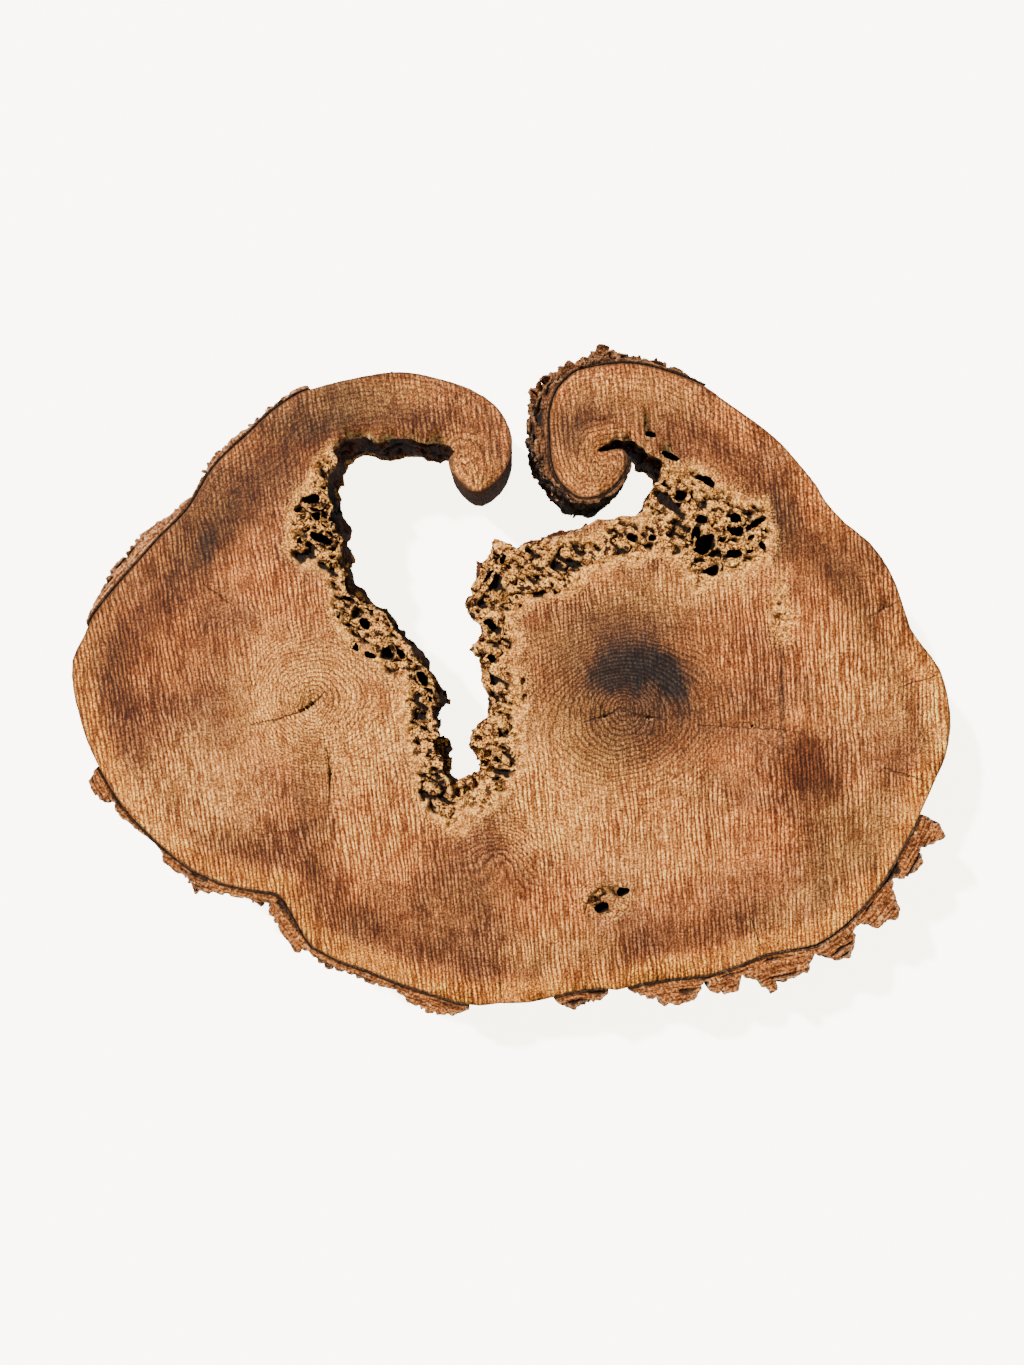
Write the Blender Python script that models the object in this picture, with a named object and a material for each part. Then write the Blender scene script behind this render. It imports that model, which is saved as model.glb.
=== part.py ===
"""Slice of a walnut trunk, lying flat on its back sawn face.

The trunk grew round an old wound: its two edges rolled inwards as curls, and the wood between them
rotted to an open void with a slot below it. X runs along the slice's long side, Y along its short
side and Z along the trunk. The origin is at the middle of the slice's box, on its back face.
"""

import math
import random

import bmesh
import bpy
from mathutils import Vector

MM = 0.001
THICKNESS = 127.0  # mm, five inches between the two saw cuts
LEVELS = (0.0, 0.27, 0.52, 0.78, 1.0)  # heights of the wood's rings, as shares of the thickness
BARK_LEVELS = (0.0, 0.14, 0.3, 0.46, 0.62, 0.8, 1.0)  # and of the bark's
BARK_GAP = 0.4  # mm, the hairline between bark and wood
ROT_JITTER = 1.6  # mm, how far a rotten edge strays from its traced line
ROT_DRIFT = 3.5  # mm, how far a rotten wall wanders between the two faces
LEDGE = 17.0  # mm, how far the bank below the right curl juts out under the front face
BARK_ROUGH = 1.3  # mm, crumbling of the bark's outer edge
PLATE_RELIEF = 0.15  # how far the bark's plates swell and shrink along the trunk, of their thickness
POCKET_SIDES = 8
SEED = 33

# Outlines in mm from the middle of the slice, anticlockwise seen from the front face.
# Grown edges are smooth curves through their points.
LEFT_CURL = [
    (-73, 294), (-81, 283), (-76, 268), (-59, 249), (-40, 243), (-15, 260), (-1, 287), (1, 312),
    (-7, 335), (-22, 355), (-51, 374), (-90, 387), (-127, 395), (-163, 395), (-215, 385),
    (-256, 374),
]
LEFT_FLANK = [
    (-274, 367), (-306, 345), (-331, 321), (-350, 304), (-372, 283), (-386, 265), (-397, 246),
    (-410, 224), (-427, 205), (-448, 185), (-469, 161), (-490, 138), (-513, 111), (-532, 86),
    (-546, 57), (-559, 29), (-558, -8), (-551, -39), (-541, -72), (-526, -106),
]
LOWER_EDGE = [
    (-499, -151), (-474, -180), (-443, -210), (-406, -238), (-366, -256), (-327, -264),
    (-298, -268), (-283, -288), (-268, -315), (-254, -335), (-219, -354), (-186, -365),
    (-149, -380), (-111, -393), (-71, -406), (-41, -411), (-15, -408), (22, -407), (53, -400),
    (78, -393), (113, -389), (134, -391), (165, -383), (209, -376), (250, -372), (295, -357),
    (321, -346), (351, -340), (388, -333), (421, -311), (448, -284), (477, -247),
]
RIGHT_FLANK = [
    (512, -184), (526, -154), (541, -120), (552, -95), (559, -57), (556, -20), (545, 18),
    (523, 48), (508, 70), (496, 107), (481, 144), (456, 179), (425, 204), (400, 231), (388, 252),
    (366, 279), (344, 304), (321, 324), (295, 343), (265, 364), (246, 378), (209, 393),
    (172, 404), (142, 407), (113, 404),
]
RIGHT_CURL = [
    (85, 398), (69, 386), (58, 373), (51, 355), (48, 336), (49, 311), (51, 284), (57, 264),
    (69, 249), (85, 237), (101, 236), (118, 241), (132, 252), (142, 264), (149, 282), (146, 293),
    (139, 298), (128, 297), (113, 294),
]
# Rotten edges run straight between their points, with crumbs broken out.
CURL_POCKET = [
    (108, 296), (121, 304), (128, 309), (142, 307), (154, 308), (167, 299), (175, 289),
    (187, 284), (193, 278), (190, 266), (187, 254), (178, 241), (169, 231), (166, 218),
]
RIGHT_BANK = [
    (157, 213), (139, 214), (124, 209), (109, 210), (97, 202), (77, 193), (55, 184), (41, 174),
    (22, 179), (8, 174), (-6, 180), (-20, 184),
]
VOID_RIGHT = [
    (-27, 180), (-32, 170), (-45, 157), (-49, 139), (-50, 121), (-52, 109), (-59, 95), (-50, 86),
    (-40, 72), (-46, 59), (-53, 49), (-45, 38),
]
SLOT = [
    (-40, 29), (-35, 8), (-32, -21), (-35, -41), (-32, -53), (-27, -81), (-27, -99), (-31, -119),
    (-45, -134), (-69, -143), (-83, -113), (-88, -92), (-99, -76), (-95, -63), (-97, -49),
    (-99, -38), (-90, -26), (-93, -10), (-104, 8), (-113, 26), (-126, 48), (-142, 67),
]
VOID_LEFT = [
    (-147, 77), (-162, 92), (-170, 104), (-191, 105), (-207, 127), (-215, 144), (-216, 175),
    (-222, 212), (-227, 249), (-235, 268), (-231, 275), (-223, 289), (-226, 301),
]
VOID_TOP = [
    (-214, 308), (-190, 313), (-180, 308), (-169, 304), (-158, 308), (-144, 310), (-123, 308),
    (-115, 304), (-105, 303), (-91, 304), (-79, 301),
]
GROWN = LEFT_CURL + LEFT_FLANK + LOWER_EDGE + RIGHT_FLANK + RIGHT_CURL
ROTTEN = CURL_POCKET + RIGHT_BANK + VOID_RIGHT + SLOT + VOID_LEFT + VOID_TOP

# Outer edges of the stretches of bark that are left, in mm, in the same turning sense.
# Each hugs the wood between the wood points nearest to its two ends.
BARK = {
    "bark_upper_left": [
        (-262, 378), (-275, 374), (-294, 362), (-315, 344), (-333, 325), (-346, 320), (-363, 303),
        (-378, 292), (-386, 277), (-396, 259), (-407, 238), (-427, 222), (-449, 205), (-475, 185),
        (-494, 160), (-513, 138), (-523, 115), (-536, 92), (-541, 78),
    ],
    "bark_lower_left": [
        (-529, -109), (-537, -124), (-530, -143), (-518, -152), (-506, -151), (-503, -166),
        (-492, -176), (-462, -198), (-447, -212), (-442, -228), (-418, -246), (-399, -263),
        (-373, -268), (-343, -274), (-313, -281), (-306, -296), (-290, -322), (-275, -343),
        (-258, -340), (-250, -352), (-235, -363), (-202, -372), (-182, -381), (-149, -390),
        (-134, -404), (-107, -419), (-74, -424), (-54, -416),
    ],
    "bark_lower_middle": [
        (55, -403), (60, -408), (82, -415), (98, -408), (113, -404), (123, -395),
    ],
    "bark_lower_right": [
        (148, -390), (156, -394), (171, -400), (184, -401), (189, -410), (208, -410), (228, -407),
        (238, -394), (249, -379), (252, -391), (271, -396), (290, -391), (293, -368), (299, -374),
        (314, -382), (329, -396), (337, -390), (336, -380), (355, -378), (375, -369), (381, -359),
        (387, -345), (401, -349), (416, -353), (430, -349), (436, -336), (437, -312), (445, -305),
        (460, -310), (467, -312), (474, -305), (492, -298), (497, -289), (489, -274), (483, -262),
        (487, -248), (508, -246), (523, -228), (519, -207), (533, -208), (552, -195), (545, -180),
        (526, -169),
    ],
    "bark_right_curl": [
        (248, 380), (228, 390), (209, 402), (184, 411), (161, 416), (150, 418), (134, 422),
        (118, 415), (101, 417), (96, 407), (74, 398), (57, 391), (43, 378), (38, 367), (24, 350),
        (20, 329), (25, 307), (30, 284), (38, 270), (51, 252), (64, 240), (78, 230), (96, 225),
        (114, 231), (130, 240), (146, 257), (153, 278), (152, 287),
    ],
}
LIFTED_FROM, LIFTED_TO = (351, -340), (452, -280)  # where drying has pulled the bark off the wood
LIFTED_GAP = 2.2  # mm

# Rot pockets open on the front face: x, y, length, width and depth in mm, and the turn in degrees.
POCKETS = [
    (247, 177, 28, 24, 88, 20), (238, 193, 22, 8, 45, 118), (280, 165, 19, 13, 42, 10),
    (254, 140, 13, 9, 20, -20), (237, 210, 11, 8, 25, -30), (278, 215, 14, 10, 30, 15),
    (282, 198, 21, 11, 36, -12), (306, 204, 33, 7, 30, 22), (303, 184, 11, 5, 16, 60),
    (317, 172, 12, 6, 18, -45), (268, 183, 16, 5, 22, 55), (297, 168, 9, 6, 14, 0),
    (153, 181, 18, 6, 18, -10), (181, 184, 9, 7, 14, 20), (177, 316, 13, 6, 16, -15),
    (201, 289, 28, 7, 26, -27), (248, 259, 27, 7, 28, -35), (216, 243, 12, 9, 26, -10),
    (185, 214, 9, 6, 14, 0), (-260, 235, 21, 6, 30, 15), (-257, 215, 18, 6, 24, -5),
    (-247, 187, 27, 8, 34, -33), (-271, 222, 8, 6, 14, 0), (-273, 180, 9, 5, 14, -40),
    (-219, 86, 14, 4, 16, -24), (-200, 46, 13, 4, 16, -35), (-182, 36, 12, 6, 20, -48),
    (-181, 77, 17, 9, 30, -30), (-163, 43, 17, 7, 26, -35), (-148, 46, 34, 6, 34, -55),
    (-119, 6, 24, 10, 40, -60), (-107, -22, 13, 5, 18, -20), (-28, 77, 26, 6, 26, -60),
    (-29, 36, 12, 6, 18, -50), (-16, 153, 14, 6, 18, 65), (-31, 133, 12, 5, 16, 55),
    (15, 3, 9, 4, 12, 80), (17, -19, 9, 4, 12, 85), (114, -287, 16, 11, 34, 35),
    (142, -266, 18, 9, 30, 15),
]
KNOT = (122, -278, 68, 46, 5, 22)  # the rotten knot's shallow dish, written as a pocket
BACK_POCKET_WIDTH = 8  # mm, pockets at least this wide run through to the back as smaller ones

# Drying checks on the front face: width and depth in mm, and the line that each follows.
CHECKS = [
    (2.2, 7, [(97, -48), (119, -43), (140, -32)]),
    (2.2, 7, [(153, -39), (174, -45), (194, -46)]),
    (1.8, 6, [(246, -53), (300, -54), (358, -60)]),
    (2.2, 7, [(-287, -43), (-266, -35), (-251, -25), (-238, -14)]),
    (2.4, 8, [(-235, -87), (-230, -120), (-231, -154)]),
    (1.8, 6, [(-391, 125), (-374, 113), (-357, 99)]),
    (2.0, 6, [(-15, -363), (-14, -382), (-12, -399)]),
    (1.8, 6, [(306, -303), (313, -323), (321, -339)]),
    (1.8, 6, [(460, 85), (477, 97), (488, 101)]),
    (1.8, 6, [(474, -109), (500, -118), (523, -124)]),
]

WOOD_COLOUR = (0.42, 0.20, 0.085)
BARK_COLOUR = (0.16, 0.085, 0.045)


def catmull_rom_middle(a, b, c, d):
    """Point halfway between b and c on the smooth curve through all four."""
    return (-a + 9.0 * b + 9.0 * c - d) / 16.0


def outward(points, index):
    """Unit vector out of an anticlockwise loop at one of its points."""
    along = points[(index + 1) % len(points)] - points[index - 1]
    return Vector((along.y, -along.x)).normalized()


def wood_outline(rng):
    """The front face's outline as points, with a flag for each that lies on a rotten edge."""
    traced = [Vector(point) for point in GROWN + ROTTEN]
    count, grown = len(traced), len(GROWN)
    points, rotten = [], []
    for i, here in enumerate(traced):
        after = traced[(i + 1) % count]
        points.append(here)
        rotten.append(i >= grown)
        if i + 1 < grown:
            points.append(catmull_rom_middle(traced[i - 1], here, after, traced[i + 2]))
            rotten.append(False)
        else:
            middle = (here + after) / 2.0
            side = Vector((after.y - here.y, here.x - after.x)).normalized()
            points.append(middle + side * rng.uniform(-ROT_JITTER, ROT_JITTER))
            rotten.append(i >= grown)
    return points, rotten


def ledge_share(point):
    """How fully the bank's ledge stands out at this point of the outline, 0 to 1."""
    right, left = RIGHT_BANK[3], RIGHT_BANK[9]
    if not left[0] < point.x < right[0] or not 150.0 < point.y < 220.0:
        return 0.0
    return math.sin(math.pi * (point.x - left[0]) / (right[0] - left[0])) ** 0.5


def wood_ring(points, rotten, share, rng):
    """The outline at one level: grown edges run straight along the trunk, rotten ones wander."""
    depth = 1.0 - share
    ring = []
    for i, point in enumerate(points):
        moved = point.copy()
        if rotten[i] and rotten[i - 1] and depth > 0.0:
            wander = rng.uniform(-ROT_DRIFT, ROT_DRIFT)
            wander += LEDGE * ledge_share(point) * math.sin(math.pi * min(depth * 0.8, 1.0))
            moved += outward(points, i) * wander
        ring.append(moved)
    return ring


def nearest(points, target):
    """Index of the outline point nearest to a place."""
    return min(range(len(points)), key=lambda i: (points[i] - Vector(target)).length)


def crumbled(edge, rng):
    """A bark edge with a broken point between each pair of traced ones that lie far apart."""
    points = [Vector(edge[0])]
    for here, after in zip(edge, edge[1:]):
        a, b = Vector(here), Vector(after)
        if (b - a).length > 13.0:
            side = Vector((b.y - a.y, a.x - b.x)).normalized()
            points.append((a + b) / 2.0 + side * rng.uniform(-BARK_ROUGH, BARK_ROUGH))
        points.append(b)
    return points


def bark_rings(wood, edge, rng):
    """Rings of one stretch of bark: furrows run along the trunk and its plates break across it."""
    first, last = nearest(wood, edge[0]), nearest(wood, edge[-1])
    lift_first, lift_last = nearest(wood, LIFTED_FROM), nearest(wood, LIFTED_TO)
    inner = []
    for i in range(first, last + 1):
        gap = BARK_GAP
        if lift_first < i < lift_last:
            gap = LIFTED_GAP
        inner.append(wood[i] + outward(wood, i) * gap)
    outer = crumbled(edge, rng)
    rings = []
    for share in BARK_LEVELS:
        ring = []
        for i, point in enumerate(outer):
            base = min(inner, key=lambda p, q=point: (p - q).length)
            relief = 0.0
            if share < 1.0:
                plate = math.sin(0.9 * i + 9.0 * share)
                relief = PLATE_RELIEF * (plate + rng.uniform(-1.1, 0.1))
            ring.append(base + (point - base) * (1.0 + relief))
        rings.append(ring + inner[::-1])
    return rings


def loft(name, rings, heights, material=None):
    """Closed solid through rings of points in mm, with a flat face at each end."""
    mesh = bpy.data.meshes.new(name)
    bm = bmesh.new()
    rows = []
    for ring, height in zip(rings, heights):
        rows.append([bm.verts.new((p.x * MM, p.y * MM, height * MM)) for p in ring])
    for low, high in zip(rows, rows[1:]):
        for i in range(len(low)):
            j = (i + 1) % len(low)
            bm.faces.new((low[i], low[j], high[j], high[i]))
    bm.faces.new(rows[0][::-1])
    bm.faces.new(rows[-1])
    bmesh.ops.recalc_face_normals(bm, faces=bm.faces)
    bm.to_mesh(mesh)
    bm.free()
    if material:
        mesh.materials.append(material)
    return bpy.data.objects.new(name, mesh)


def pocket_cutter(name, pocket, rng, back=False):
    """Uneven pit with a narrow foot, sunk from the front face or from the back."""
    x, y, length, width, depth, turn = pocket
    angle = math.radians(turn)
    along = Vector((math.cos(angle), math.sin(angle)))
    across = Vector((-along.y, along.x))
    bumps = [rng.uniform(0.82, 1.18) for _ in range(POCKET_SIDES)]
    rings = []
    for size in (1.0, 0.9, 0.5):
        ring = []
        for i, bump in enumerate(bumps):
            t = math.tau * i / POCKET_SIDES
            reach = size * bump / 2.0
            offset = along * (length * math.cos(t)) + across * (width * math.sin(t))
            ring.append(Vector((x, y)) + offset * reach)
        rings.append(ring)
    over = 2.0  # mm that the cutter stands out of the face
    if back:
        heights = [-over, depth * 0.5, depth]
    else:
        heights = [THICKNESS + over, THICKNESS - depth * 0.5, THICKNESS - depth]
    return loft(name, rings, heights)


def check_cutter(name, width, depth, line):
    """Thin wedge along a drying check, fading out at both ends."""
    mesh = bpy.data.meshes.new(name)
    bm = bmesh.new()
    over = 2.0  # mm that the wedge stands out of the face
    points = [Vector(point) for point in line]
    rows = []
    for i, point in enumerate(points):
        along = points[min(i + 1, len(points) - 1)] - points[max(i - 1, 0)]
        side = Vector((-along.y, along.x)).normalized()
        fade = 0.35 if i in (0, len(points) - 1) else 1.0
        half = side * (width * fade / 2.0) * (1.0 + over / depth)
        low = THICKNESS - depth * fade
        corners = [
            (point.x + half.x, point.y + half.y, THICKNESS + over),
            (point.x - half.x, point.y - half.y, THICKNESS + over),
            (point.x, point.y, low),
        ]
        rows.append([bm.verts.new(Vector(corner) * MM) for corner in corners])
    for row, following in zip(rows, rows[1:]):
        for i in range(3):
            j = (i + 1) % 3
            bm.faces.new((row[i], row[j], following[j], following[i]))
    bm.faces.new(rows[0][::-1])
    bm.faces.new(rows[-1])
    bmesh.ops.recalc_face_normals(bm, faces=bm.faces)
    bm.to_mesh(mesh)
    bm.free()
    return bpy.data.objects.new(name, mesh)


def rot_cutters(rng):
    """Every pocket, the knot's dish and every check, kept in a collection of guides."""
    cutters = bpy.data.collections.new("rot_and_checks")
    bpy.context.scene.collection.children.link(cutters)
    made = [pocket_cutter("knot_dish", KNOT, rng)]
    for i, pocket in enumerate(POCKETS):
        made.append(pocket_cutter(f"pocket_{i:02d}", pocket, rng))
        x, y, length, width, depth, turn = pocket
        if width >= BACK_POCKET_WIDTH:
            drift = [rng.uniform(-5.0, 5.0) for _ in range(2)]
            smaller = (x + drift[0], y + drift[1], length * 0.8, width * 0.8, 24.0, turn)
            made.append(pocket_cutter(f"back_pocket_{i:02d}", smaller, rng, back=True))
    for i, (width, depth, line) in enumerate(CHECKS):
        made.append(check_cutter(f"check_{i:02d}", width, depth, line))
    for cutter in made:
        cutters.objects.link(cutter)
        cutter.hide_render = True
        cutter.display_type = "WIRE"
    return cutters


def box_middle(shapes):
    """Middle of the box round every ring, in metres, on the back face."""
    points = [point for rings in shapes for ring in rings for point in ring]
    xs = [point.x for point in points]
    ys = [point.y for point in points]
    return Vector((min(xs) + max(xs), min(ys) + max(ys), 0.0)) * (MM / 2.0)


def plain_material(name, colour, roughness):
    """Principled material with one colour."""
    material = bpy.data.materials.new(name)
    material.use_nodes = True
    shader = material.node_tree.nodes["Principled BSDF"]
    shader.inputs["Base Color"].default_value = (*colour, 1.0)
    shader.inputs["Roughness"].default_value = roughness
    shader.inputs["Metallic"].default_value = 0.0
    return material


def main():
    for old in list(bpy.data.objects):
        bpy.data.objects.remove(old, do_unlink=True)
    rng = random.Random(SEED)
    outline, rotten = wood_outline(rng)
    wood_rings = [wood_ring(outline, rotten, share, rng) for share in LEVELS]
    bark = {name: bark_rings(outline, edge, rng) for name, edge in BARK.items()}
    cutters = rot_cutters(rng)

    wood_heights = [share * THICKNESS for share in LEVELS]
    wood = loft("wood", wood_rings, wood_heights, plain_material("wood", WOOD_COLOUR, 0.75))
    cut = wood.modifiers.new("rot_and_checks", "BOOLEAN")
    cut.operation = "DIFFERENCE"
    cut.solver = "EXACT"
    cut.operand_type = "COLLECTION"
    cut.collection = cutters

    bark_heights = [share * THICKNESS for share in BARK_LEVELS]
    bark_material = plain_material("bark", BARK_COLOUR, 0.9)
    pieces = [wood]
    for name, rings in bark.items():
        pieces.append(loft(name, rings, bark_heights, bark_material))
    middle = box_middle([wood_rings, *bark.values()])
    for piece in pieces:
        bpy.context.scene.collection.objects.link(piece)
    for placed in [*pieces, *cutters.objects]:
        placed.location = -middle


main()
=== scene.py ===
"""Looks of the walnut slice: its worn wood, its bark and a daylight stage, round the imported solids.

Lengths are in metres in the slice's own frame, and traced lines in millimetres. X runs along the
slice's long side, Y along its short side and Z along the trunk. The back sawn face is on Z = 0.
"""

import math
import bpy
import numpy as np
from mathutils import Matrix, Vector
from mathutils.kdtree import KDTree


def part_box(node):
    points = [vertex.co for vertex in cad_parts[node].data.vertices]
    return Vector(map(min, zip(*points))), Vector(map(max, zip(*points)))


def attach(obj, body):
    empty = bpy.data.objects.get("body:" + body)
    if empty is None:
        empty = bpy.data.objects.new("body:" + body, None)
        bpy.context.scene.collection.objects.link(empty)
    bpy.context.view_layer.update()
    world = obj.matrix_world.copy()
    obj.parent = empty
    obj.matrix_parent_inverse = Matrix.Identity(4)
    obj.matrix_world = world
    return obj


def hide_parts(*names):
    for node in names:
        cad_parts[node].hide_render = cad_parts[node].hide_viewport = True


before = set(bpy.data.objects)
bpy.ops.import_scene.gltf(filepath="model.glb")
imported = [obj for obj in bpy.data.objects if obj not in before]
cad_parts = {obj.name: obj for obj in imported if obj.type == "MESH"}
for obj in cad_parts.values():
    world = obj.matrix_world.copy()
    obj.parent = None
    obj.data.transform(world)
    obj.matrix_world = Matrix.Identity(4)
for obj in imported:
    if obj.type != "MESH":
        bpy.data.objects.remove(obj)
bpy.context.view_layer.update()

bl_info = {
    "name": "Walnut slice",
    "version": (1, 0, 0),
    "blender": (4, 5, 0),
    "location": "3D View > Sidebar > Walnut slice",
    "description": "Dresses the packed solids of a walnut slice with worn wood and bark",
    "category": "Object",
}

MM = 0.001
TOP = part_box("wood")[1].z  # height of the front sawn face
SHIFT = (0.375, 1.497)  # mm from the traced lines' middle to the middle of the slice's box

# The slice's outline, as its solid has it, in mm from the traced lines' middle.
LEFT_CURL = [
    (-73, 294), (-81, 283), (-76, 268), (-59, 249), (-40, 243), (-15, 260), (-1, 287), (1, 312),
    (-7, 335), (-22, 355), (-51, 374), (-90, 387), (-127, 395), (-163, 395), (-215, 385),
    (-256, 374),
]
LEFT_FLANK = [
    (-274, 367), (-306, 345), (-331, 321), (-350, 304), (-372, 283), (-386, 265), (-397, 246),
    (-410, 224), (-427, 205), (-448, 185), (-469, 161), (-490, 138), (-513, 111), (-532, 86),
    (-546, 57), (-559, 29), (-558, -8), (-551, -39), (-541, -72), (-526, -106),
]
LOWER_EDGE = [
    (-499, -151), (-474, -180), (-443, -210), (-406, -238), (-366, -256), (-327, -264),
    (-298, -268), (-283, -288), (-268, -315), (-254, -335), (-219, -354), (-186, -365),
    (-149, -380), (-111, -393), (-71, -406), (-41, -411), (-15, -408), (22, -407), (53, -400),
    (78, -393), (113, -389), (134, -391), (165, -383), (209, -376), (250, -372), (295, -357),
    (321, -346), (351, -340), (388, -333), (421, -311), (448, -284), (477, -247),
]
RIGHT_FLANK = [
    (512, -184), (526, -154), (541, -120), (552, -95), (559, -57), (556, -20), (545, 18),
    (523, 48), (508, 70), (496, 107), (481, 144), (456, 179), (425, 204), (400, 231), (388, 252),
    (366, 279), (344, 304), (321, 324), (295, 343), (265, 364), (246, 378), (209, 393),
    (172, 404), (142, 407), (113, 404),
]
RIGHT_CURL = [
    (85, 398), (69, 386), (58, 373), (51, 355), (48, 336), (49, 311), (51, 284), (57, 264),
    (69, 249), (85, 237), (101, 236), (118, 241), (132, 252), (142, 264), (149, 282), (146, 293),
    (139, 298), (128, 297), (113, 294),
]
# Rotten edges run straight between their points, with crumbs broken out.
CURL_POCKET = [
    (108, 296), (121, 304), (128, 309), (142, 307), (154, 308), (167, 299), (175, 289),
    (187, 284), (193, 278), (190, 266), (187, 254), (178, 241), (169, 231), (166, 218),
]
RIGHT_BANK = [
    (157, 213), (139, 214), (124, 209), (109, 210), (97, 202), (77, 193), (55, 184), (41, 174),
    (22, 179), (8, 174), (-6, 180), (-20, 184),
]
VOID_RIGHT = [
    (-27, 180), (-32, 170), (-45, 157), (-49, 139), (-50, 121), (-52, 109), (-59, 95), (-50, 86),
    (-40, 72), (-46, 59), (-53, 49), (-45, 38),
]
SLOT = [
    (-40, 29), (-35, 8), (-32, -21), (-35, -41), (-32, -53), (-27, -81), (-27, -99), (-31, -119),
    (-45, -134), (-69, -143), (-83, -113), (-88, -92), (-99, -76), (-95, -63), (-97, -49),
    (-99, -38), (-90, -26), (-93, -10), (-104, 8), (-113, 26), (-126, 48), (-142, 67),
]
VOID_LEFT = [
    (-147, 77), (-162, 92), (-170, 104), (-191, 105), (-207, 127), (-215, 144), (-216, 175),
    (-222, 212), (-227, 249), (-235, 268), (-231, 275), (-223, 289), (-226, 301),
]
VOID_TOP = [
    (-214, 308), (-190, 313), (-180, 308), (-169, 304), (-158, 308), (-144, 310), (-123, 308),
    (-115, 304), (-105, 303), (-91, 304), (-79, 301),
]
GROWN = LEFT_CURL + LEFT_FLANK + LOWER_EDGE + RIGHT_FLANK + RIGHT_CURL
ROTTEN = CURL_POCKET + RIGHT_BANK + VOID_RIGHT + SLOT + VOID_LEFT + VOID_TOP

PITHS = ((-251, -26), (142, -32))  # mm, the two middles that the trunk grew from
RINGS = 62.0  # yearly rings from a middle out to the bark
HARDLY = 1e-7  # a share too small to see
SAW_PITCH = 0.0054  # distance between two marks of the saw
SAW_LEAN = 0.115  # how far the saw's marks lean to the left in the middle
SAW_TURN = 0.14  # how much less they lean for each metre to the right
SAW_PAINTED_HIGHLIGHT = (1.7, 1.66, 1.6, 1.0)  # painted highlight: how much brighter the saw's ridges are painted, as raking light would show them
PALE_GLEAM = (1.36, 1.2, 1.06, 1.0)  # how much brighter pale wood is
SHEEN = 0.14  # share of the usual mirror light: dry wood and bark have little
WOOD_TRIANGLES = 192000
BARK_TRIANGLES = 70000
FLAKE_SHAPES = 4
SWIRLS = (  # x and y in mm, reach in mm and strength in rings: wood that grew round a knot
    (-8, -213, 42, 6.5), (120, -279, 40, 8.0), (-270, 150, 60, 4.0), (-30, 300, 40, 4.5),
    (330, 60, 55, 2.5), (-380, -90, 70, 2.5), (300, -150, 80, 2.5),
)

# Zones of rot on the sawn faces, in mm: their outlines and how far gone each is.
ROT_ZONES = (
    (1.0, [(-227, 301), (-254, 268), (-275, 241), (-283, 212), (-285, 175), (-264, 152),
           (-238, 115), (-231, 88), (-202, 48), (-163, 17), (-142, -12), (-137, -73),
           (-127, -137), (-104, -185), (-63, -188), (-63, 54), (-142, 156), (-205, 207),
           (-203, 301)]),
    (0.9, [(-35, 156), (-15, 105), (10, 53), (18, -10), (17, -63), (10, -107), (-17, -161),
           (-35, -170), (-72, -165), (-72, 156)]),
    (1.0, [(-72, 188), (11, 181), (113, 194), (163, 217), (182, 194), (163, 156), (100, 137),
           (62, 111), (11, 92), (-35, 79), (-72, 105)]),
    (0.9, [(186, 293), (194, 291), (239, 268), (261, 249), (284, 241), (321, 241), (329, 238),
           (330, 152), (296, 143), (266, 129), (231, 118), (217, 143), (198, 163), (163, 156),
           (144, 181), (161, 219), (153, 238), (174, 270)]),
    (0.4, [(86, -268), (97, -256), (118, -254), (140, -256), (153, -268), (152, -284),
           (138, -298), (118, -303), (97, -296), (87, -283)]),
    (0.75, [(338, 133), (350, 130), (354, 92), (352, 54), (340, 54), (335, 92)]),
)

# Soft stains: x, y, half width, half height in mm, turn in degrees and strength.
DARK_STAINS = (
    (200, 8, 50, 40, 0, 0.9), (148, -4, 150, 140, 0, 0.5), (-388, 176, 12, 36, 0, 0.6),
    (458, -228, 10, 10, 0, 0.7), (448, -232, 7, 10, 0, 0.6), (396, -264, 15, 20, 0, 0.6),
    (396, -225, 5, 34, 4, 0.4), (-269, -143, 14, 24, 10, 0.45), (-266, -277, 26, 26, 0, 0.4),
    (-40, -366, 22, 18, 0, 0.5), (36, -359, 22, 18, 0, 0.45), (163, -327, 20, 16, 0, 0.35),
    (526, -70, 12, 22, 0, 0.6), (336, 200, 9, 60, 0, 0.45), (344, -10, 6, 96, 0, 0.75),
    (-17, -194, 20, 66, -8, 0.35), (23, -378, 12, 12, 0, 0.4), (243, -20, 14, 14, 0, 0.25),
    (-205, 70, 40, 26, -40, 0.25), (-240, 42, 30, 24, 0, 0.3), (-100, -205, 26, 26, 0, 0.3),
)
GREY_STAINS = (
    (150, -6, 150, 136, 0, 0.5), (-235, 350, 130, 44, 20, 1.0),
    (-396, 207, 100, 66, 45, 0.85), (-65, -277, 90, 56, 0, 0.6), (418, -188, 76, 76, 0, 0.6),
    (430, 156, 60, 70, 0, 0.4), (-520, 30, 40, 80, 0, 0.4), (-251, -26, 44, 44, 0, 0.2),
    (-250, -150, 30, 120, 3, 0.5), (75, 318, 30, 44, 20, 0.7), (110, 346, 60, 20, 8, 0.45),
    (-70, 330, 70, 22, 16, 0.6), (-150, 335, 90, 14, 4, 0.5), (350, 210, 26, 70, 0, 0.6),
    (-300, 250, 60, 40, 45, 0.4), (-340, 200, 70, 30, 50, 0.35), (-60, -330, 90, 30, 10, 0.4),
    (-180, -300, 90, 30, 25, 0.4), (-380, -60, 60, 90, 0, 0.25), (300, -300, 60, 40, 20, 0.3),
)
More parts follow.
